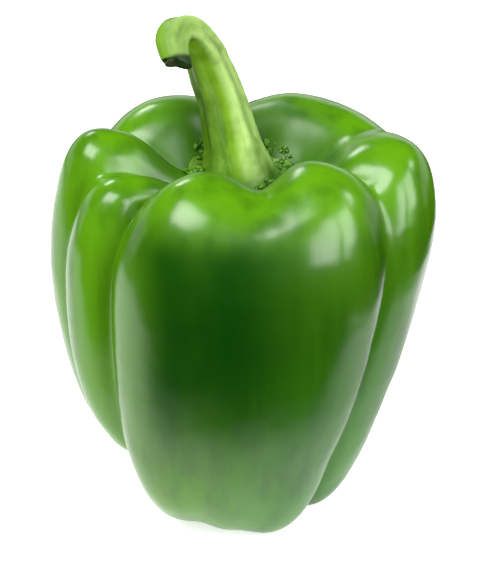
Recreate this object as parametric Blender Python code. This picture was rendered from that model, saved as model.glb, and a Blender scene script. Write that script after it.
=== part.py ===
# Bell pepper: one lobed fruit that stands on the feet of its lobes, and its stem with the calyx.
# Metres, +Z up. The origin is on the surface that the fruit stands on, under the middle of its
# outline, and the front of the fruit faces -Y.

import math
from typing import NamedTuple

import bmesh
import bpy
from mathutils import Vector
from mathutils.bvhtree import BVHTree
from mathutils.geometry import interpolate_bezier

MM = 0.001


class Lobe(NamedTuple):
    """One bulge of the fruit, between two furrows. Radii are from the fruit's axis."""

    name: str
    crown_radius: float  # where the shoulder is highest
    crown: float  # how high it is there
    reach: float  # radius of the belly
    belly: float  # height of the belly
    foot_radius: float  # where the lobe reaches lowest
    foot: float  # how low: below 0 for a foot that is pressed flat
    shoulder: float  # how far out the shoulder stays high, from 0 to 1
    flank: float  # how far down the flank keeps its full radius, from 0 to 1
    heel: float  # how far out the heel stays low, from 0 to 1


class Furrow(NamedTuple):
    """The valley before the lobe of the same number. Its angles are in degrees, from the front,
    anticlockwise from above."""

    crown_angle: float
    foot_angle: float
    crown_depth: float
    flank_depth: float
    foot_depth: float
    fade: float = 1  # how far down the shoulder its depth turns from one into the next, from 0 to 1


class Station(NamedTuple):
    """One cross-section of the stem: its centre, its radius and how far its ribs stand out."""

    x: float
    y: float
    z: float
    radius: float
    rib: float


# Fruit
LOBES = (
    Lobe("front_left", 24 * MM, 89 * MM, 41 * MM, 62 * MM, 18 * MM, 1.4 * MM, 0.55, 0.75, 0.61),
    Lobe("front_right", 26 * MM, 90 * MM, 43.5 * MM, 64 * MM, 21 * MM, -0.6 * MM, 0.60, 0.50, 0.40),
    Lobe("right", 35 * MM, 89 * MM, 44.5 * MM, 71 * MM, 18.5 * MM, -0.9 * MM, 0.70, 0.15, 0.43),
    Lobe("back_right", 25 * MM, 90 * MM, 44 * MM, 64 * MM, 19 * MM, -0.6 * MM, 0.60, 0.50, 0.50),
    Lobe("back_left", 23 * MM, 91 * MM, 42 * MM, 64 * MM, 19 * MM, -0.6 * MM, 0.60, 0.50, 0.50),
    Lobe("left", 32.5 * MM, 90.4 * MM, 43 * MM, 60 * MM, 22 * MM, 8 * MM, 0.66, 0.60, 0.50),
    Lobe("left_front", 30 * MM, 84 * MM, 42 * MM, 58 * MM, 24 * MM, 14 * MM, 0.55, 0.60, 0.50),
)
FURROWS = (
    Furrow(-48, -57, 9 * MM, 6 * MM, 6 * MM),
    Furrow(15, -12, 6 * MM, 0.6 * MM, 0.3 * MM, 0.45),
    Furrow(68, 37, 9 * MM, 7 * MM, 6 * MM),
    Furrow(103, 99, 2.2 * MM, 4 * MM, 6 * MM),
    Furrow(186, 180, 7 * MM, 4 * MM, 5 * MM),
    Furrow(254, 246, 7 * MM, 4 * MM, 5 * MM),
    Furrow(284, 281, 6 * MM, 4 * MM, 4 * MM),
)
BULGE = 0.62  # 1 makes a lobe a plain sine wave, and less makes it boxier
SOFT_BULGE = 1.8  # the same where there is no furrow, so that the lobes run into each other
SHALLOW = 3 * MM  # depth of furrow below which one turns into the other
FLOOR = 77 * MM  # bottom of the hollow that the calyx lies in
DIMPLE = 9 * MM  # underside at the blossom end
HOLLOW_START, HOLLOW_END = 0.75, 0.45  # Bezier handles of the hollow, as shares of crown_radius
UNDER_START, UNDER_END = 0.5, 0.4  # and of the underside, as shares of foot_radius
ROUND = 0.55  # handle length that makes a Bezier curve a quarter ellipse
HOLLOW_RINGS, SHOULDER_RINGS, FLANK_RINGS, UNDER_RINGS = 9, 9, 18, 9
DEGREES_PER_STEP = 4.5  # between the mesh's columns
FURROW_CROWDING = 0.45  # how far those columns crowd towards the furrows

# Stem, from its cut end down to the collar that the calyx spreads from
STEM = (
    Station(-13.4 * MM, -6.4 * MM, 107.6 * MM, 2.9 * MM, 0.03),
    Station(-14.6 * MM, -3.4 * MM, 111.1 * MM, 3.2 * MM, 0.05),
    Station(-13.2 * MM, 0.1 * MM, 112.8 * MM, 3.3 * MM, 0.06),
    Station(-10.4 * MM, 3.0 * MM, 110.8 * MM, 3.5 * MM, 0.07),
    Station(-7.7 * MM, 4.5 * MM, 105.8 * MM, 4.1 * MM, 0.08),
    Station(-5.7 * MM, 4.7 * MM, 100.1 * MM, 4.6 * MM, 0.08),
    Station(-4.0 * MM, 3.9 * MM, 96.0 * MM, 4.8 * MM, 0.08),
    Station(-2.4 * MM, 2.4 * MM, 88.9 * MM, 5.5 * MM, 0.08),
    Station(-1.4 * MM, 1.5 * MM, 84.8 * MM, 6.3 * MM, 0.07),
    Station(-0.6 * MM, 0.6 * MM, 80.5 * MM, 8.3 * MM, 0.06),
)
RIBS = 5
RIB_ANGLE = math.radians(20)  # where the first rib stands on the collar
STEM_COLUMNS = 40
STEM_RINGS = 30
CUT_SLANT = 0.8  # how much further the stem reaches on the +X side of the cut, as a slope
CUT_HOLLOW = 0.6 * MM  # how far the pith of the cut end has shrunk back
CUT_LIP = 0.8  # radius of that hollow, as a share of the stem's

# Calyx: a disc with a short point for each rib, which lies in the fruit's hollow
CALYX_RADIUS = 11.8 * MM
CALYX_POINT = 1.3 * MM  # how far a point reaches past that radius, and a gap falls short of it
CALYX_WAVE = 0.5 * MM  # smaller waves along its rim
CALYX_WAVES = 15
CALYX_THICKNESS = 1.3 * MM
CALYX_THINNING = 0.5  # how much thinner its rim is, as a share
CALYX_GAP = 0.45 * MM  # clearance to the fruit under it
CALYX_UNDER = (0.25, 0.48, 0.70, 0.92)  # its rings underneath, as shares of its radius
CALYX_OVER = (1, 0.88, 0.76)  # and on top, from the rim to the collar

GREEN_SKIN = (0.040, 0.150, 0.006, 1)
GREEN_STEM = (0.230, 0.400, 0.040, 1)
SKIN_ROUGHNESS = 0.22
STEM_ROUGHNESS = 0.55


def evenly_spaced(curve, count):
    """Points at equal steps along a Bezier curve, without its start."""
    fine = interpolate_bezier(*(Vector(p) for p in curve), 200)
    walked = [0]
    for a, b in zip(fine, fine[1:]):
        walked.append(walked[-1] + (b - a).length)
    points = []
    i = 0
    for k in range(1, count + 1):
        wanted = walked[-1] * k / count
        while i < len(fine) - 2 and walked[i + 1] < wanted:
            i += 1
        share = (wanted - walked[i]) / (walked[i + 1] - walked[i])
        points.append(fine[i].lerp(fine[i + 1], share))
    return points


def outline(lobe):
    """(radius, height) down the middle of a lobe, from the stem's end to the blossom end."""
    crown = (lobe.crown_radius, lobe.crown)
    belly = (lobe.reach, lobe.belly)
    foot = (lobe.foot_radius, lobe.foot)
    shoulder_out = lobe.crown_radius + lobe.shoulder * (lobe.reach - lobe.crown_radius)
    shoulder_up = lobe.belly + ROUND * (lobe.crown - lobe.belly)
    flank_down = lobe.belly - lobe.flank * (lobe.belly - lobe.foot)
    heel_out = lobe.foot_radius + lobe.heel * (lobe.reach - lobe.foot_radius)
    hollow = ((0, FLOOR), (HOLLOW_START * lobe.crown_radius, FLOOR),
              (HOLLOW_END * lobe.crown_radius, lobe.crown), crown)
    shoulder = (crown, (shoulder_out, lobe.crown), (lobe.reach, shoulder_up), belly)
    flank = (belly, (lobe.reach, flank_down), (heel_out, lobe.foot), foot)
    under = (foot, (UNDER_START * lobe.foot_radius, lobe.foot),
             (UNDER_END * lobe.foot_radius, DIMPLE), (0, DIMPLE))
    points = [Vector((0, FLOOR))]
    points += evenly_spaced(hollow, HOLLOW_RINGS)
    points += evenly_spaced(shoulder, SHOULDER_RINGS)
    points += evenly_spaced(flank, FLANK_RINGS)
    points += evenly_spaced(under, UNDER_RINGS)
    return points


def ease(f):
    return f * f * (3 - 2 * f)


def between(start, end, share):
    return start + (end - start) * ease(share)


def furrow_depths(furrow):
    """How deep the furrow is at each ring."""
    depths = [between(0, furrow.crown_depth, j / HOLLOW_RINGS) for j in range(HOLLOW_RINGS + 1)]
    stretches = (
        (furrow.crown_depth, furrow.flank_depth, SHOULDER_RINGS, furrow.fade),
        (furrow.flank_depth, furrow.foot_depth, FLANK_RINGS, 1),
        (furrow.foot_depth, 0, UNDER_RINGS, 1),
    )
    for start, end, count, fade in stretches:
        depths += [between(start, end, min(j / (count * fade), 1)) for j in range(1, count + 1)]
    return depths


def valley(before, after, furrow):
    """(radius, height) down a furrow: the mean of its two lobes' outlines, pressed inwards."""
    mean = [a.lerp(b, 0.5) for a, b in zip(outline(before), outline(after))]
    depths = furrow_depths(furrow)
    pressed = [mean[0]]
    for j in range(1, len(mean) - 1):
        along = mean[j + 1] - mean[j - 1]
        pressed.append(mean[j] + Vector((along.y, -along.x)).normalized() * depths[j])
    return pressed + [mean[-1]]


def bulge(s, depth):
    """How far out the surface is across a lobe, from 0 in its furrows to 1 in its middle."""
    sharp = ease(min(depth / SHALLOW, 1))
    return math.sin(math.pi * s) ** (SOFT_BULGE + (BULGE - SOFT_BULGE) * sharp)


def skin():
    """The fruit's surface as rings of points, from the stem's end to the blossom end."""
    count = len(LOBES)
    ridges = [outline(lobe) for lobe in LOBES]
    valleys = [valley(LOBES[i - 1], LOBES[i], FURROWS[i]) for i in range(count)]
    depths = [furrow_depths(furrow) for furrow in FURROWS]
    total = len(ridges[0]) - 1
    rings = []
    for j in range(1, total):
        ring = []
        for i in range(count):
            this = FURROWS[i]
            following = FURROWS[(i + 1) % count]
            width = (following.crown_angle - this.crown_angle) % 360
            foot_width = (following.foot_angle - this.foot_angle) % 360
            start = between(this.crown_angle, this.foot_angle, j / total)
            spread = between(width, foot_width, j / total)
            steps = round(width / DEGREES_PER_STEP)
            for k in range(steps):
                s = k / steps
                s -= FURROW_CROWDING * math.sin(math.tau * s) / math.tau
                low = valleys[i][j].lerp(valleys[(i + 1) % count][j], ease(s))
                nearest = i if s < 0.5 else (i + 1) % count
                radius, height = low.lerp(ridges[i][j], bulge(s, depths[nearest][j]))
                angle = math.radians(start + s * spread)
                ring.append(Vector((radius * math.sin(angle), -radius * math.cos(angle), max(height, 0))))
        rings.append(ring)
    return rings


def close_rings(rings, first, last):
    """A closed mesh from rings of points, with a point at each end."""
    bm = bmesh.new()
    loops = [[bm.verts.new(p) for p in ring] for ring in rings]
    start = bm.verts.new(first)
    end = bm.verts.new(last)
    count = len(loops[0])
    for k in range(count):
        m = (k + 1) % count
        bm.faces.new((start, loops[0][k], loops[0][m]))
        for upper, lower in zip(loops, loops[1:]):
            bm.faces.new((upper[k], lower[k], lower[m], upper[m]))
        bm.faces.new((loops[-1][k], end, loops[-1][m]))
    bmesh.ops.recalc_face_normals(bm, faces=bm.faces)
    return bm


def stem_section(place):
    """The stem's centre, radius and rib height at a place along STEM, on a smooth curve."""
    i = min(int(place), len(STEM) - 2)
    f = place - i
    before = STEM[max(i - 1, 0)]
    after = STEM[min(i + 2, len(STEM) - 1)]
    values = []
    for a, b, c, d in zip(before, STEM[i], STEM[i + 1], after):
        slope_b = (c - a) / 2
        slope_c = (d - b) / 2
        cubic = (2 * b - 2 * c + slope_b + slope_c) * f**3
        square = (3 * c - 3 * b - 2 * slope_b - slope_c) * f**2
        values.append(cubic + square + slope_b * f + b)
    return Vector(values[:3]), values[3], values[4]


def stem_rings():
    """Rings round the stem from the collar up to the cut end, each turned with the stem's path."""
    last = len(STEM) - 1
    sections = [stem_section(last * (1 - k / STEM_RINGS)) for k in range(STEM_RINGS + 1)]
    rings = []
    direction = Vector((0, 0, 1))
    side = Vector((1, 0, 0))
    for k, (centre, radius, rib) in enumerate(sections):
        if k > 0:
            ahead = sections[min(k + 1, STEM_RINGS)][0]
            new_direction = (ahead - sections[k - 1][0]).normalized()
            side = direction.rotation_difference(new_direction) @ side
            direction = new_direction
        other = direction.cross(side)
        ring = []
        for m in range(STEM_COLUMNS):
            angle = math.tau * m / STEM_COLUMNS
            size = radius * (1 + rib * math.cos(RIBS * (angle - RIB_ANGLE)))
            ring.append(centre + (side * math.cos(angle) + other * math.sin(angle)) * size)
        rings.append(ring)
    return rings, direction


def calyx_edge(angle):
    """How far the calyx reaches from the fruit's axis."""
    points = math.cos(RIBS * (angle - RIB_ANGLE))
    waves = math.sin(CALYX_WAVES * angle)
    return CALYX_RADIUS + CALYX_POINT * points + CALYX_WAVE * waves


def make_fruit():
    bm = close_rings(skin(), (0, 0, FLOOR), (0, 0, DIMPLE))
    surface = BVHTree.FromBMesh(bm)
    fruit = finish("fruit", bm, plain_material("pepper_skin", GREEN_SKIN, SKIN_ROUGHNESS))
    return fruit, surface


def make_stem(surface):
    """The stem and the calyx, which grew as one piece."""
    def over_skin(share, angle, lift):
        reach = calyx_edge(angle) * share
        x, y = reach * math.cos(angle), reach * math.sin(angle)
        hit = surface.ray_cast(Vector((x, y, 2 * FLOOR)), Vector((0, 0, -1)))[0]
        return hit + Vector((0, 0, lift))

    stem, direction = stem_rings()
    angles = [math.tau * m / STEM_COLUMNS for m in range(STEM_COLUMNS)]
    rings = [[over_skin(share, a, CALYX_GAP) for a in angles] for share in CALYX_UNDER]
    for share in CALYX_OVER:
        thickness = CALYX_THICKNESS * (1 - CALYX_THINNING * share**4)
        rings.append([over_skin(share, a, CALYX_GAP + thickness) for a in angles])
    end = stem_section(0)[0]
    stem[-1] = [p + direction * CUT_SLANT * (p.x - end.x) for p in stem[-1]]
    lip = [end + (p - end) * CUT_LIP for p in stem[-1]]
    pith = [p - direction * CUT_HOLLOW for p in lip]
    bm = close_rings(rings + stem + [lip, pith], over_skin(0, 0, CALYX_GAP), end - direction * CUT_HOLLOW)
    return finish("stem", bm, plain_material("stem_green", GREEN_STEM, STEM_ROUGHNESS))


def plain_material(name, colour, roughness):
    material = bpy.data.materials.new(name)
    material.use_nodes = True
    shader = material.node_tree.nodes["Principled BSDF"]
    shader.inputs["Base Color"].default_value = colour
    shader.inputs["Roughness"].default_value = roughness
    shader.inputs["Metallic"].default_value = 0
    material.diffuse_color = colour
    return material


def finish(name, bm, material):
    mesh = bpy.data.meshes.new(name)
    bm.to_mesh(mesh)
    bm.free()
    mesh.materials.append(material)
    mesh.shade_smooth()
    obj = bpy.data.objects.new(name, mesh)
    bpy.context.scene.collection.objects.link(obj)
    return obj


def middle(obj):
    """The middle of an object's outline from above."""
    xs = [v.co.x for v in obj.data.vertices]
    ys = [v.co.y for v in obj.data.vertices]
    return Vector(((min(xs) + max(xs)) / 2, (min(ys) + max(ys)) / 2, 0))


def main():
    for old in list(bpy.data.objects):
        bpy.data.objects.remove(old)
    fruit, surface = make_fruit()
    stem = make_stem(surface)
    pepper = bpy.data.objects.new("pepper", None)
    bpy.context.scene.collection.objects.link(pepper)
    pepper.location = -middle(fruit)
    fruit.parent = pepper
    stem.parent = pepper


main()
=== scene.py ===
# %% [markdown]
# # A green bell pepper
#
# This lesson dresses the plain solids of a bell pepper. They come as a fixed frame: a `fruit` and a
# `stem` at their real size, in metres, with +Z up and the front of the fruit towards -Y. Each of them
# gets a finer mesh that keeps its form, and then a finish. The last steps build the studio.

# %% Load the frame
import math

import bpy
import numpy as np
from mathutils import Matrix, Quaternion, Vector
from mathutils.geometry import intersect_point_line


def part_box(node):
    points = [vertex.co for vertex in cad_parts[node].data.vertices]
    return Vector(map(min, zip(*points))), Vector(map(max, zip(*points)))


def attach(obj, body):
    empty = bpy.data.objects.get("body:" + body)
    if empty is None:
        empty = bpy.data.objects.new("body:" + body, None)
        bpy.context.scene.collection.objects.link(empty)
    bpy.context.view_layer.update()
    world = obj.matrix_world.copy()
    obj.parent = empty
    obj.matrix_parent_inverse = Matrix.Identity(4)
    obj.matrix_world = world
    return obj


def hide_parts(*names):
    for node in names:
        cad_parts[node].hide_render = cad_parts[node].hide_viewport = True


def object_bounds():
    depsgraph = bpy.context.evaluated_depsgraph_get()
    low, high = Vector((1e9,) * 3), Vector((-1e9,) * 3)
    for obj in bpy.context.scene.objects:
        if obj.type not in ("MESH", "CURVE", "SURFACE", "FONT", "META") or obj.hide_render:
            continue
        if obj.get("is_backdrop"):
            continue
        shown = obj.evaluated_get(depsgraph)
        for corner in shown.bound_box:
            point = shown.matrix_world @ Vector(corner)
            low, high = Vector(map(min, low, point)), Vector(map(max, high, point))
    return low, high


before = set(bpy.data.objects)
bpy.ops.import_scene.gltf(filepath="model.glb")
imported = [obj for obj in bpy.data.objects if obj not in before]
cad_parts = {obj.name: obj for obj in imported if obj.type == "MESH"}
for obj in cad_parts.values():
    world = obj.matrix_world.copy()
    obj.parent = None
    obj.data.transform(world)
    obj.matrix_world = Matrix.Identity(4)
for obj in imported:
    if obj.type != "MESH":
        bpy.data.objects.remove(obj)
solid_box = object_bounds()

MM = 0.001
for node in sorted(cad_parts):
    low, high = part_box(node)
    print(node, "measures", [round(side / MM, 1) for side in high - low], "mm")

# %% [markdown]
# ## A finer fruit
#
# The skin of a pepper is smooth and tight, so every facet of the solid would show in its highlights.
# It could be sculpted anew, but the solid already has each lobe in its place. So its mesh is copied,
# its loose triangles are merged and paired into quads, and Subdivision Surface rounds them off.

# %% Copy the fruit
def only(piece):
    """Selects one object and nothing else."""
    bpy.ops.object.select_all(action="DESELECT")
    piece.select_set(True)
    bpy.context.view_layer.objects.active = piece


def apply_modifier(piece, kind, **settings):
    """Adds a modifier to a piece, sets it and applies it."""
    modifier = piece.modifiers.new(kind.lower(), kind)
    for name, value in settings.items():
        setattr(modifier, name, value)
    only(piece)
    bpy.ops.object.modifier_apply(modifier=modifier.name)


def measured(piece):
    """Prints how many faces a piece has."""
    print(piece.name, "has", len(piece.data.polygons), "faces")


def copy_of(node, name):
    """A copy of a solid, with its triangles merged and paired into quads."""
    piece = bpy.data.objects.new(name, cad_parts[node].data.copy())
    bpy.context.scene.collection.objects.link(piece)
    piece.data.materials.clear()
    only(piece)
    if piece.data.has_custom_normals:
        bpy.ops.mesh.customdata_custom_splitnormals_clear()
    bpy.ops.object.mode_set(mode="EDIT")
    bpy.ops.mesh.select_all(action="SELECT")
    bpy.ops.mesh.remove_doubles(threshold=0.01 * MM)
    flat_enough = math.radians(70)
    bpy.ops.mesh.tris_convert_to_quads(face_threshold=flat_enough, shape_threshold=flat_enough)
    bpy.ops.mesh.normals_make_consistent(inside=False)
    bpy.ops.object.mode_set(mode="OBJECT")
    measured(piece)
    return piece


fruit = copy_of("fruit", "fruit_skin")

# %% [markdown]
# ## The two front lobes
#
# At the front, two lobes have grown almost into one, and only a shallow saddle is left between their
# shoulders. The solid keeps it as a furrow. A vertex group marks the place, full at the line of the
# furrow and fading out from it, and a Smooth modifier works only there, so the rim and the other
# lobes keep their form.

# %% Smooth the saddle and round it all off
def beside(piece, name, start, end, width):
    """A vertex group that holds what lies near the line between two points, and fades away from it."""
    group = piece.vertex_groups.new(name=name)
    for vertex in piece.data.vertices:
        share = intersect_point_line(vertex.co, start, end)[1] if start != end else 0
        nearest = start.lerp(end, min(max(share, 0), 1))
        nearness = 1 - (vertex.co - nearest).length / width
        if nearness > 0:
            group.add([vertex.index], nearness * nearness * (3 - 2 * nearness), "REPLACE")
    return group.name


SADDLE_TOP, SADDLE_END = Vector((5.0, -31, 80)) * MM, Vector((5.4, -42, 60)) * MM
SADDLE_WIDTH = 19 * MM
saddle = beside(fruit, "saddle", SADDLE_TOP, SADDLE_END, SADDLE_WIDTH)
apply_modifier(fruit, "SMOOTH", vertex_group=saddle, factor=0.5, iterations=45)
apply_modifier(fruit, "SUBSURF", levels=2, render_levels=2)
measured(fruit)

# %% [markdown]
# ## Dents and swellings
#
# A pepper swells unevenly as it grows, and the walls give a little between the ribs inside. On a
# glossy skin that shows at once, because every reflection wavers. Two Displace modifiers with cloud
# textures do it all over: one for slow swellings, and one for the small dents that ripple the
# reflections. They move the surface by tenths of a millimetre, so the size stays what it was. What
# they push below the floor is pressed flat again, as a real foot is.

# %% Swell and dent the skin
def clouds(name, size, detail=1):
    """A soft cloud pattern, whose blobs have about the given size."""
    pattern = bpy.data.textures.new(name, "CLOUDS")
    pattern.noise_scale = size
    pattern.noise_depth = detail
    return pattern


def crumple(piece, pattern, strength, **settings):
    """Moves the surface in and out by a cloud pattern."""
    apply_modifier(piece, "DISPLACE", texture=pattern, strength=strength, mid_level=0.5, **settings)


crumple(fruit, clouds("swellings", 22 * MM), 1.0 * MM, texture_coords="GLOBAL")
crumple(fruit, clouds("dents", 7 * MM), 0.25 * MM, texture_coords="GLOBAL")
pressed = [vertex for vertex in fruit.data.vertices if vertex.co.z < 0]
for vertex in pressed:
    vertex.co.z = 0
print(len(pressed), "vertices of the feet were pressed flat")

# %% [markdown]
# ## A finer stem
#
# The stalk and the calyx are one fibrous piece, copied and rounded off like the fruit, with the edge
# of the cut worn a little rounder. The fibres follow the hook of the stalk, so they need to know the
# way. The path below runs from the calyx up to the cut end. Each vertex is told how far along it lies
# and to which side of it, and keeps that as an attribute that the finish can read.

# %% Copy the stem and round it off
STEM_PATH = (
    (-0.6, 0.0, 76.0), (-1.2, 0.5, 80.5), (-2.0, 1.4, 84.8), (-3.0, 2.3, 88.9),
    (-4.6, 3.8, 96.0), (-6.3, 4.6, 100.1), (-8.3, 4.4, 105.8), (-11.0, 2.9, 110.8),
    (-13.8, 0.0, 112.8), (-15.2, -3.4, 111.1), (-14.0, -6.4, 107.6))


def rounded(path, times):
    """A path in metres whose corners are cut off, again and again."""
    points = [Vector(point) * MM for point in path]
    for _ in range(times):
        cut = [points[0]]
        for a, b in zip(points, points[1:]):
            cut += [a.lerp(b, 0.25), a.lerp(b, 0.75)]
        points = cut + [points[-1]]
    return points


path = rounded(STEM_PATH, 2)
stem = copy_of("stem", "stem_flesh")
CUT_REACH = 5 * MM
cut_rim = beside(stem, "cut_rim", path[-1], path[-1], CUT_REACH)
apply_modifier(stem, "SMOOTH", vertex_group=cut_rim, factor=0.5, iterations=4)
apply_modifier(stem, "SUBSURF", levels=2, render_levels=2)
measured(stem)

# %% Follow the stem's path
def straightened(piece, path):
    """Where each vertex would be if the path ran straight up from the origin."""
    stretches = []
    walked = 0
    forward, side = Vector((0, 0, 1)), Vector((1, 0, 0))
    for a, b in zip(path, path[1:]):
        side = forward.rotation_difference(b - a) @ side
        forward = (b - a).normalized()
        stretches.append((a, b, walked, side, forward.cross(side)))
        walked += (b - a).length
    places = []
    for vertex in piece.data.vertices:
        nearest = math.inf
        for a, b, start, side, other in stretches:
            share = min(max(intersect_point_line(vertex.co, a, b)[1], 0), 1)
            out = vertex.co - a.lerp(b, share)
            if out.length_squared < nearest:
                nearest = out.length_squared
                place = (out.dot(side), out.dot(other), start + share * (b - a).length)
        places.append(place)
    return places


places = straightened(stem, path)
grain = stem.data.attributes.new("grain", "FLOAT_VECTOR", "POINT")
grain.data.foreach_set("vector", np.array(places, dtype=np.float32).ravel())
stem_length = sum((b - a).length for a, b in zip(path, path[1:]))
print("the stem's path is", round(stem_length / MM), "mm long")

# %% [markdown]
# ## Ribs and knobs on the stalk
#
# Five ribs run up the stalk, and its rind is a little knobbly. Both fade out towards the calyx and
# towards the cut, where the stalk is round. So one vertex group says how much of the stalk a vertex
# belongs to, another how near it is to the crest of a rib, and a Displace modifier uses each. The
# crests are kept as an attribute too, because the finish paints a highlight on them and shade
# between them.

# %% Raise the ribs
RIBS, FIRST_RIB = 5, math.radians(20)
RIB_START, RIB_RISE, RIB_FADE = 6 * MM, 6 * MM, 5 * MM
ribs = stem.vertex_groups.new(name="ribs")
stalk = stem.vertex_groups.new(name="stalk")
crests = []
for vertex, (x, y, z) in zip(stem.data.vertices, places):
    crest = 0.5 + 0.5 * math.cos(RIBS * (math.atan2(y, x) - FIRST_RIB))
    crests.append(crest)
    above_calyx = min(max((z - RIB_START) / RIB_RISE, 0), 1)
    before_cut = min(max((stem_length - z) / RIB_FADE, 0), 1)
    ribs.add([vertex.index], crest * crest * above_calyx * before_cut, "REPLACE")
    stalk.add([vertex.index], above_calyx * before_cut, "REPLACE")
stem.data.attributes.new("crest", "FLOAT", "POINT").data.foreach_set("value", crests)
apply_modifier(stem, "DISPLACE", vertex_group="ribs", strength=0.5 * MM, mid_level=0)
crumple(stem, clouds("knobs", 3 * MM, 2), 0.35 * MM, vertex_group="stalk", texture_coords="GLOBAL")
print(sum(crest > 0.9 for crest in crests), "vertices lie on the crest of a rib")

# %% [markdown]
# ## Round the calyx
#
# Where the calyx meets the skin, the rim of the old flower has dried to dark crumbs. They could be a
# bump in the finish, but they stand up and throw shadows. So one crumb is modelled from a sphere that
# is flattened and crumpled. Its copies are dropped on the calyx and round it, each turned and sized
# by its place in the row. Sine waves that don't keep step with the row stand in for chance, so no two
# crumbs next to each other look the same, and the script gives the same crumbs each time.

# %% Model a crumb
def new_piece(name):
    """Names the object that was just added, and returns it."""
    piece = bpy.context.object
    piece.name = name
    piece.data.name = name
    return piece


bpy.ops.object.select_all(action="DESELECT")
bpy.ops.mesh.primitive_ico_sphere_add(subdivisions=2, radius=1 * MM)
crumb = new_piece("crumb")
crumb.scale = (1.3, 0.7, 0.45)
bpy.ops.object.transform_apply(location=False, rotation=False, scale=True)
crumple(crumb, clouds("crumples", 0.7 * MM, 2), 1.1 * MM, texture_coords="LOCAL")
measured(crumb)

# %% Scatter the crumbs
CRUMBS, CRUMB_SIZE, SIZE_SPREAD = 240, 0.6, 0.3
CALYX_RIM, RIM_WIDTH, TURN_SPREAD = 11.0 * MM, 2.3 * MM, 0.3
DROP_FROM, CALYX_TOP, CRUMB_LIFT = 95 * MM, 85 * MM, 0.3 * MM
GOLDEN_TURN = math.pi * (3 - math.sqrt(5))
graph = bpy.context.evaluated_depsgraph_get()
crumbs = []
for k in range(CRUMBS):
    turn = math.tau * k / CRUMBS + TURN_SPREAD * math.sin(7 * k)
    reach = CALYX_RIM + RIM_WIDTH * math.sin(3.7 * k)
    above = Vector((reach * math.cos(turn), reach * math.sin(turn), DROP_FROM))
    down = Vector((0, 0, -1))
    drops = [ground.ray_cast(above, down, depsgraph=graph) for ground in (fruit, stem)]
    _, spot, facing, _ = max(drops, key=lambda drop: drop[1].z if drop[0] else 0)
    if spot.z > CALYX_TOP:
        continue
    copy = bpy.data.objects.new("crumb_copy", crumb.data.copy())
    bpy.context.scene.collection.objects.link(copy)
    size = CRUMB_SIZE + SIZE_SPREAD * math.sin(2.3 * k)
    spin = Quaternion(facing, GOLDEN_TURN * k) @ Vector((0, 0, 1)).rotation_difference(facing)
    copy.matrix_world = Matrix.LocRotScale(spot + facing * CRUMB_LIFT, spin, Vector((size,) * 3))
    crumbs.append(copy)
bpy.data.objects.remove(crumb)
only(crumbs[0])
for copy in crumbs:
    copy.select_set(True)
bpy.ops.object.join()
bpy.ops.object.transform_apply(location=True, rotation=True, scale=True)
rim = new_piece("calyx_crumbs")
print(len(crumbs), "crumbs lie round the calyx")
measured(rim)

# %% [markdown]
# ## Cut end and blossom scar
#
# The knife left a slanted end on the stalk, which has dried dark and shrunk a little round the pith.
# On the underside, the flower fell off and left a small corky scar. Both are round and ringed, so the
# same steps model them: a disc is inset ring by ring, each ring is raised or sunk, and Solidify gives
# it a thickness inwards, so that it is a closed shell.

# %% Model the two discs
def ringed_disc(name, radius, steps):
    """A disc in the plane Z = 0, whose rings are raised or sunk by the steps, from the rim inwards."""
    bpy.ops.object.select_all(action="DESELECT")
    bpy.ops.mesh.primitive_circle_add(vertices=48, radius=radius, fill_type="NGON")
    disc = new_piece(name)
    bpy.ops.object.mode_set(mode="EDIT")
    bpy.ops.mesh.select_all(action="SELECT")
    for step in steps:
        bpy.ops.mesh.inset(thickness=radius / (len(steps) + 1))
        bpy.ops.transform.translate(value=(0, 0, step))
    bpy.ops.mesh.poke()
    bpy.ops.object.mode_set(mode="OBJECT")
    apply_modifier(disc, "SOLIDIFY", thickness=DISC_THICKNESS, offset=-1)
    return disc


def settle(piece, place, facing):
    """Turns a piece so that its +Z faces a direction, and moves it to a place."""
    turn = Vector((0, 0, 1)).rotation_difference(facing)
    piece.matrix_world = Matrix.LocRotScale(place, turn, None)
    only(piece)
    bpy.ops.object.transform_apply(location=True, rotation=True, scale=True)
    measured(piece)


DISC_THICKNESS = 0.3 * MM
PITH_RADIUS, PITH_DEPTH = 2.6 * MM, 0.45 * MM
SCAR_RADIUS, SCAR_RISE = 2.5 * MM, 0.1 * MM
pith = ringed_disc("stem_pith", PITH_RADIUS, (0.15 * MM, 0.1 * MM, -0.15 * MM, -0.2 * MM))
cut_facing = (path[-1] - path[-2]).normalized()
settle(pith, path[-1] - cut_facing * PITH_DEPTH, cut_facing)
scar = ringed_disc("blossom_scar", SCAR_RADIUS, (0.25 * MM, 0.2 * MM, -0.25 * MM, -0.15 * MM))
below = Vector((0, 0, -50 * MM))
_, spot, facing, _ = fruit.ray_cast(below, Vector((0, 0, 1)), depsgraph=graph)
settle(scar, spot + facing * SCAR_RISE, facing)

# %% [markdown]
# ## Finishes
#
# Every finish starts from noise and from places on the object itself, read as Object coordinates or
# from the stem's own attributes, so that the pattern stays on the surface from every side. An image
# could hold the same patterns, but it would need unwrapping, and it would blur close up. The class
# below keeps the nodes short to write.

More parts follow.
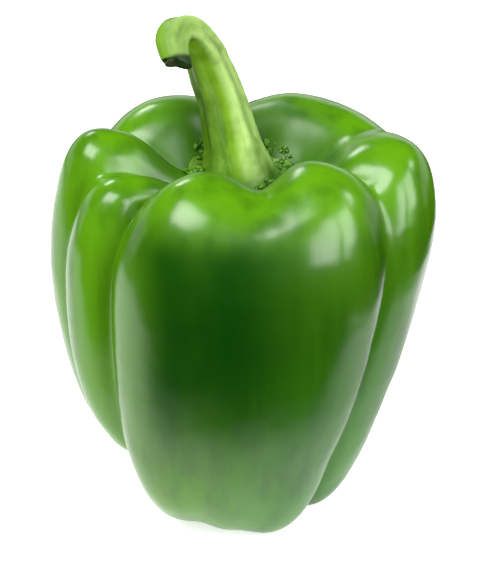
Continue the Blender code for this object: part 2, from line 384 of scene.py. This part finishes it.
# %% Start the skin's finish
class Finish:
    """A material whose nodes are added one after another."""

    def __init__(self, name):
        self.material = bpy.data.materials.new(name)
        self.material.use_nodes = True
        self.nodes = self.material.node_tree.nodes
        self.links = self.material.node_tree.links
        self.shader = self.nodes["Principled BSDF"]
        self.place = self.nodes.new("ShaderNodeTexCoord").outputs["Object"]

    def node(self, kind, inputs=None, **settings):
        """Adds a node, sets it, and joins or sets its inputs."""
        made = self.nodes.new(kind)
        for name, value in settings.items():
            setattr(made, name, value)
        for key, value in (inputs or {}).items():
            if isinstance(value, bpy.types.NodeSocket):
                self.links.new(value, made.inputs[key])
            else:
                made.inputs[key].default_value = value
        return made

    def shine(self, **values):
        """Sets sockets of the shader that are the same all over the surface."""
        for name, value in values.items():
            self.shader.inputs[name.replace("_", " ")].default_value = value

    def join(self, output, name):
        """Joins a pattern to a socket of the shader."""
        self.links.new(output, self.shader.inputs[name])

    def attribute(self, name, output="Vector"):
        """What the mesh keeps under a name."""
        return self.node("ShaderNodeAttribute", attribute_name=name).outputs[output]

    def noise(self, size, stretch=(1, 1, 1), detail=2, place=None):
        """Noise whose blobs have about the given size, longer along the axes with a stretch."""
        squeeze = {"Vector": place or self.place, "Scale": [1 / s for s in stretch]}
        squeezed = self.node("ShaderNodeMapping", squeeze).outputs[0]
        inputs = {"Vector": squeezed, "Scale": 1 / size, "Detail": detail}
        return self.node("ShaderNodeTexNoise", inputs).outputs["Fac"]

    def ramp(self, value, low, high, to_low=0.0, to_high=1.0):
        """A value from one range moved smoothly to another."""
        inputs = {"Value": value, "From Min": low, "From Max": high, "To Min": to_low, "To Max": to_high}
        return self.node("ShaderNodeMapRange", inputs, interpolation_type="SMOOTHSTEP").outputs[0]

    def along(self, direction):
        """How far a point lies along a direction, in metres."""
        inputs = {0: self.place, 1: direction}
        return self.node("ShaderNodeVectorMath", inputs, operation="DOT_PRODUCT").outputs["Value"]

    def from_axis(self):
        """How far a point lies from the fruit's axis, in metres."""
        inputs = {0: self.place, 1: (1, 1, 0)}
        flat = self.node("ShaderNodeVectorMath", inputs, operation="MULTIPLY").outputs[0]
        return self.node("ShaderNodeVectorMath", {0: flat}, operation="LENGTH").outputs["Value"]

    def all_of(self, first, *others):
        """The product of some shares."""
        for other in others:
            first = self.node("ShaderNodeMath", {0: first, 1: other}, operation="MULTIPLY").outputs[0]
        return first

    def mix(self, share, first, second):
        """One colour running into another."""
        return self.node("ShaderNodeMix", {0: share, 6: first, 7: second}, data_type="RGBA").outputs[2]

    def bump(self, height, distance, over=None):
        """Relief from a pattern, on top of another relief if there is one."""
        inputs = {"Height": height, "Distance": distance, "Strength": 1.0}
        if over is not None:
            inputs["Normal"] = over
        return self.node("ShaderNodeBump", inputs).outputs[0]


skin = Finish("pepper_skin_finish")
print(skin.material.name, "starts with", len(skin.nodes), "nodes")

# %% [markdown]
# ## Skin of the fruit
#
# The skin is a fresh lime green on the shoulders and the left-hand lobes and leaf green lower down on
# the right, partly its own tone and partly painted shade, lighter where the light falls from above.
# The almost black-green in the middle of the front is painted shade. Faint streaks run from the stem
# to the tip. In the hollow round the stem it is less polished, and painted shade darkens it.
# Each of these is a share between 0 and 1 that mixes one colour into the next, and the edges of the
# shares are wide, because nothing on a pepper changes at a line.

# %% Colour the skin
lime_green = (0.088, 0.265, 0.002, 1)
leaf_green = (0.040, 0.190, 0.001, 1)
deep_green_for_streaks_and_shade = (0.002, 0.046, 0.0005, 1)
to_right, to_back, upwards = skin.along((1, 0, 0)), skin.along((0, 1, 0)), skin.along((0, 0, 1))
# Lime turns to leaf green lower down on the right: partly the skin's own tone, partly painted shade.
low_down = skin.ramp(upwards, 80 * MM, 35 * MM)
right_side = skin.ramp(to_right, -20 * MM, 15 * MM)
green = skin.mix(skin.all_of(low_down, right_side), lime_green, leaf_green)
wander = skin.noise(18 * MM, stretch=(1, 1, 2))
slanted = skin.along((-0.3, 0, 1))
# Painted shade: the middle of the front is darkened almost to black-green.
painted_front_shade = skin.all_of(
    skin.ramp(upwards, 86 * MM, 74 * MM), skin.ramp(slanted, 15 * MM, 54 * MM, 0.2, 1),
    skin.ramp(to_right, -30 * MM, -15 * MM), skin.ramp(to_right, -5 * MM, 30 * MM, 1, 0.4),
    skin.ramp(to_back, -12 * MM, -26 * MM), skin.ramp(wander, 0.2, 0.6, 0.85, 1))
green = skin.mix(painted_front_shade, green, deep_green_for_streaks_and_shade)
streaks = skin.noise(6 * MM, stretch=(1, 1, 8), detail=3)
green = skin.mix(skin.ramp(streaks, 0.4, 0.75, 0, 0.45), green, deep_green_for_streaks_and_shade)
in_hollow = skin.ramp(skin.from_axis(), 28 * MM, 17 * MM)
# Painted shade: the hollow round the stem is darkened towards deep green.
green = skin.mix(skin.all_of(in_hollow, 0.55), green, deep_green_for_streaks_and_shade)
skin.join(green, "Base Color")
print("the colour of the skin takes", len(skin.nodes), "nodes")

# %% [markdown]
# ## Polish of the skin
#
# A pepper's wax makes it glossy, but not like glass. The pores roughen it a little, and slow ripples
# let the highlights waver. Both are a bump from noise, since real geometry this fine would need
# millions of faces.

# %% Polish the skin
def wear(piece, finish):
    """Gives a piece its finish and its body."""
    piece.data.materials.clear()
    piece.data.materials.append(finish.material)
    only(piece)
    bpy.ops.object.shade_smooth()
    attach(piece, "root")
    print(piece.name, "wears", finish.material.name, "with", len(finish.nodes), "nodes")


pores = skin.noise(0.9 * MM)
ripples = skin.noise(5 * MM, detail=1)
skin.join(skin.bump(pores, 0.01 * MM, over=skin.bump(ripples, 0.05 * MM)), "Normal")
skin.join(skin.ramp(in_hollow, 0, 1, 0.23, 0.38), "Roughness")
skin.shine(Specular_IOR_Level=0.5, IOR=1.5)
wear(fruit, skin)
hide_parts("fruit")

# %% [markdown]
# ## Rind of the stem
#
# The stem is satin and fibrous: olive on its left, which is painted shade, bright in the middle and
# pale on its right, which is a painted highlight. It has fine fibres along it, crests paler by a
# painted highlight and valleys darker by painted shade, blotches, a foot darkened by painted shade and
# a dried cut. All of this follows the bends of the hook, so the patterns read the `grain` attribute,
# in which the stem stands straight.

# %% Colour the stem
rind = Finish("stem_finish")
grain = rind.attribute("grain")
crest = rind.attribute("crest", "Fac")
straight = rind.node("ShaderNodeSeparateXYZ", {0: grain}).outputs
to_side, from_calyx = straight[0], straight[2]
fibres = rind.noise(0.8 * MM, stretch=(1, 1, 14), detail=3, place=grain)
mottle = rind.noise(5 * MM)
pale_highlight, bright, olive_blotch_and_shade = (0.42, 0.62, 0.19, 1), (0.20, 0.40, 0.016, 1), (0.056, 0.155, 0.001, 1)
foot_shade_green, dried_green = (0.025, 0.110, 0.003, 1), (0.012, 0.035, 0.004, 1)
# Painted highlight: the right side of the stalk turns pale.
green = rind.mix(rind.ramp(to_side, 0.5 * MM, 2.5 * MM, 0, 0.85), bright, pale_highlight)
# Painted shade: the left side of the stalk turns olive.
painted_left_shade = rind.all_of(
    rind.ramp(to_side, 1.2 * MM, -1.4 * MM), rind.ramp(from_calyx, 17 * MM, 28 * MM, 0.95, 0.4))
green = rind.mix(painted_left_shade, green, olive_blotch_and_shade)
# Painted highlight on the crests of the ribs, and painted shade in the valleys between them.
green = rind.mix(rind.ramp(crest, 0.6, 1.0, 0, 0.1), green, pale_highlight)
green = rind.mix(rind.ramp(crest, 0.4, 0.0, 0, 0.2), green, olive_blotch_and_shade)
green = rind.mix(rind.ramp(fibres, 0.35, 0.75, 0, 0.4), green, bright)
green = rind.mix(rind.ramp(mottle, 0.45, 0.75, 0, 0.6), green, olive_blotch_and_shade)
# Painted shade: the foot of the stalk, where it meets the calyx, is darkened.
green = rind.mix(rind.ramp(from_calyx, 11 * MM, 4 * MM, 0, 0.35), green, olive_blotch_and_shade)
green = rind.mix(rind.ramp(from_calyx, 39 * MM, 43 * MM, 0, 0.5), green, olive_blotch_and_shade)
green = rind.mix(rind.ramp(from_calyx, 5 * MM, 2 * MM, 0, 0.9), green, foot_shade_green)
near_cut = rind.ramp(from_calyx, stem_length - 1.6 * MM, stem_length - 0.4 * MM)
rind.join(rind.mix(near_cut, green, dried_green), "Base Color")
rind.join(rind.bump(fibres, 0.12 * MM), "Normal")
rind.shine(Roughness=0.4, Specular_IOR_Level=0.15)
wear(stem, rind)
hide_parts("stem")

# %% [markdown]
# ## Dried bits
#
# The crumbs are dry and matt, dark green with lighter flecks; their dark green is partly their dried
# tone and partly painted shade. The pith and the scar are corky. A fine noise mixes the two colours
# of each, and gives the cork its rough relief.

# %% Colour the crumbs
bark = Finish("dried_finish")
# The crumbs' dark green is partly their dried tone and partly painted shade.
crumb_and_shade_green, light_fleck = (0.012, 0.070, 0.003, 1), (0.16, 0.38, 0.030, 1)
flecks = bark.noise(0.5 * MM, detail=3)
bark.join(bark.mix(bark.ramp(flecks, 0.4, 0.65), crumb_and_shade_green, light_fleck), "Base Color")
bark.shine(Roughness=0.7, Specular_IOR_Level=0.2)
wear(rim, bark)

# %% Colour the pith and the scar
cork = Finish("cork_finish")
dark_cork, light_cork = (0.020, 0.035, 0.006, 1), (0.10, 0.11, 0.03, 1)
flecks = cork.noise(0.4 * MM, detail=3)
cork.join(cork.mix(cork.ramp(flecks, 0.35, 0.65), dark_cork, light_cork), "Base Color")
cork.join(cork.bump(flecks, 0.15 * MM), "Normal")
cork.shine(Roughness=0.8)
wear(pith, cork)
wear(scar, cork)

# %% [markdown]
# ## The lamps
#
# A glossy pepper shows every lamp as a highlight, so each softbox stands where its highlight asks for
# it: a large one above and to the left, a pair like the panes of a window on the right, and two small
# ones behind and beside. A faint white world fills the shadows from all round. It isn't mirrored,
# because it would lay a haze over the dark front.

# %% Hang the lamps
FRUIT_MIDDLE = Vector((0, 0, 55 * MM))


def direction(azimuth, elevation):
    """The direction at an azimuth, counted from the front towards +X, and at an elevation."""
    a, e = math.radians(azimuth), math.radians(elevation)
    return Vector((math.sin(a) * math.cos(e), -math.cos(a) * math.cos(e), math.sin(e)))


def softbox(name, azimuth, elevation, distance, width, height, brightness):
    """A soft lamp that faces the fruit. Its brightness is that of its surface."""
    lamp = bpy.data.lights.new(name, "AREA")
    lamp.shape = "RECTANGLE"
    lamp.size, lamp.size_y = width, height
    lamp.energy = brightness * math.pi * width * height
    hung = bpy.data.objects.new(name, lamp)
    bpy.context.scene.collection.objects.link(hung)
    towards = direction(azimuth, elevation)
    hung.location = FRUIT_MIDDLE + towards * distance
    hung.rotation_euler = towards.to_track_quat("Z", "Y").to_euler()
    hung.visible_camera = False
    print(name, "gives", round(lamp.energy, 1), "watts")
    return hung


softbox("top_softbox", -43, 57, 1.15, 0.84, 0.55, 11)
softbox("right_softbox_a", 32, 28, 0.75, 0.26, 0.48, 8)
right_pane = softbox("right_softbox_b", 63, 28, 0.75, 0.32, 0.48, 8)
right_pane.visible_diffuse = False
softbox("back_softbox", -155, 36, 0.75, 0.18, 0.12, 12)
softbox("side_softbox", 98, 42, 0.75, 0.16, 0.16, 9)

# %% Light the world
WORLD_STRENGTH = 0.36
world = bpy.data.worlds.new("studio")
bpy.context.scene.world = world
world.use_nodes = True
background = world.node_tree.nodes["Background"]
background.inputs["Color"].default_value = (1, 1, 1, 1)
background.inputs["Strength"].default_value = WORLD_STRENGTH
world.cycles_visibility.glossy = False
print("the world shines at", WORLD_STRENGTH, "and isn't mirrored")

# %% [markdown]
# ## Floor, card and backdrop
#
# The fruit stands on plain white that runs up into a wall, so no horizon shows. If the skin mirrored
# all of that white, it would look like milk glass. So the floor isn't mirrored. A white card on it
# is, which is brightest at the back left and fades out towards the front: it gives the soft sheen low
# on the lobes. A low backdrop gives the faint rim of light on the far shoulders.

# %% Lay the floor
def plain(name, colour, glow):
    """A matt white that also glows."""
    white = Finish(name)
    white.shine(Base_Color=colour, Emission_Color=(1, 1, 1, 1), Emission_Strength=glow)
    white.shine(Roughness=0.8, Specular_IOR_Level=0)
    return white


def open_edges(piece):
    """Goes into edit mode with all the edges of a flat ring or disc selected."""
    for edge in piece.data.edges:
        edge.select = True
    bpy.ops.object.mode_set(mode="EDIT")
    bpy.ops.mesh.select_mode(type="EDGE")


def on_stage(piece, finish):
    """Dresses a piece of the studio and keeps its shadow off the fruit."""
    piece.data.materials.append(finish.material)
    piece.visible_shadow = False
    piece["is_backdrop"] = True
    print(piece.name, "is", [round(side, 2) for side in piece.dimensions], "m")


FLOOR_RADIUS, WALL_HEIGHT = 3, 3
bpy.ops.object.select_all(action="DESELECT")
bpy.ops.mesh.primitive_circle_add(vertices=96, radius=FLOOR_RADIUS, fill_type="NGON")
floor = new_piece("floor")
open_edges(floor)
bpy.ops.mesh.extrude_edges_move(TRANSFORM_OT_translate={"value": (0, 0, WALL_HEIGHT)})
bpy.ops.object.mode_set(mode="OBJECT")
floor.visible_glossy = False
floor.visible_diffuse = False
on_stage(floor, plain("floor_white", (0.85, 0.85, 0.85, 1), 0.7))

# %% Lay the card
CARD_MIDDLE, CARD_SIZE, CARD_GLOW = (-0.1375, 0.125, -0.5 * MM), (0.525, 0.430, 1), 0.55
bpy.ops.object.select_all(action="DESELECT")
bpy.ops.mesh.primitive_grid_add(x_subdivisions=4, y_subdivisions=4, size=1, location=CARD_MIDDLE)
card = new_piece("white_card")
card.scale = CARD_SIZE
bpy.ops.object.transform_apply(location=True, rotation=False, scale=True)
card.visible_camera = False
white = plain("card_white", (0.8, 0.8, 0.8, 1), CARD_GLOW)
to_front, to_right = white.along((0, -1, 0)), white.along((1, 0, 0))
behind_edge = white.ramp(to_front, 88 * MM, 38 * MM)
near_right = white.all_of(
    white.ramp(to_right, 20 * MM, 70 * MM), white.ramp(to_front, -70 * MM, -30 * MM))
white.join(white.mix(behind_edge, (0, 0, 0, 1), (0.8, 0.8, 0.8, 1)), "Base Color")
glow = white.all_of(behind_edge, white.ramp(near_right, 0, 1, 1, 0.2), CARD_GLOW)
white.join(glow, "Emission Strength")
on_stage(card, white)

# %% Stand the backdrop
BACKDROP_RADIUS, BACKDROP_HEIGHT, BACKDROP_FRONT = 1.2, 0.42, 0.2
bpy.ops.object.select_all(action="DESELECT")
bpy.ops.mesh.primitive_circle_add(vertices=64, radius=BACKDROP_RADIUS, fill_type="NOTHING")
backdrop = new_piece("backdrop")
open_edges(backdrop)
bpy.ops.mesh.extrude_edges_move(TRANSFORM_OT_translate={"value": (0, 0, BACKDROP_HEIGHT)})
bpy.ops.mesh.select_all(action="DESELECT")
bpy.ops.object.mode_set(mode="OBJECT")
for face in backdrop.data.polygons:
    face.select = face.center.y < BACKDROP_FRONT
bpy.ops.object.mode_set(mode="EDIT")
bpy.ops.mesh.select_mode(type="FACE")
bpy.ops.mesh.delete(type="FACE")
bpy.ops.object.mode_set(mode="OBJECT")
backdrop.visible_camera = False
backdrop.visible_diffuse = False
on_stage(backdrop, plain("backdrop_white", (0.8, 0.8, 0.8, 1), 0.3))

# %% [markdown]
# ## The camera
#
# The pepper is seen from a little above and from close by, with a long lens. The height and the
# distance are the ones at which the outline of the solids comes closest to that of the real fruit.

# %% Set up the camera
EYE_ELEVATION = 25
EYE_DISTANCE = 0.50
AIM = Vector((-0.5 * MM, 0, 52.5 * MM))
camera_data = bpy.data.cameras.new("camera")
camera_data.lens = 139
camera_data.clip_start = 0.01
camera = bpy.data.objects.new("camera", camera_data)
bpy.context.scene.collection.objects.link(camera)
towards = direction(0, EYE_ELEVATION)
camera.location = AIM + towards * EYE_DISTANCE
camera.rotation_euler = towards.to_track_quat("Z", "Y").to_euler()
bpy.context.scene.camera = camera
bpy.context.scene.view_settings.view_transform = "Standard"
print("the camera stands at", [round(x / MM) for x in camera.location], "mm")

# %% [markdown]
# ## Sizes
#
# The dressed pepper should stay as large as the solids are, so both boxes are printed.

# %% Print the sizes and finish
shown_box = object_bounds()
sizes = {
    "solid": [list(corner) for corner in solid_box],
    "shown": [list(corner) for corner in shown_box]}
for name, corners in sizes.items():
    print(name, "box", [[round(x / MM, 2) for x in corner] for corner in corners])
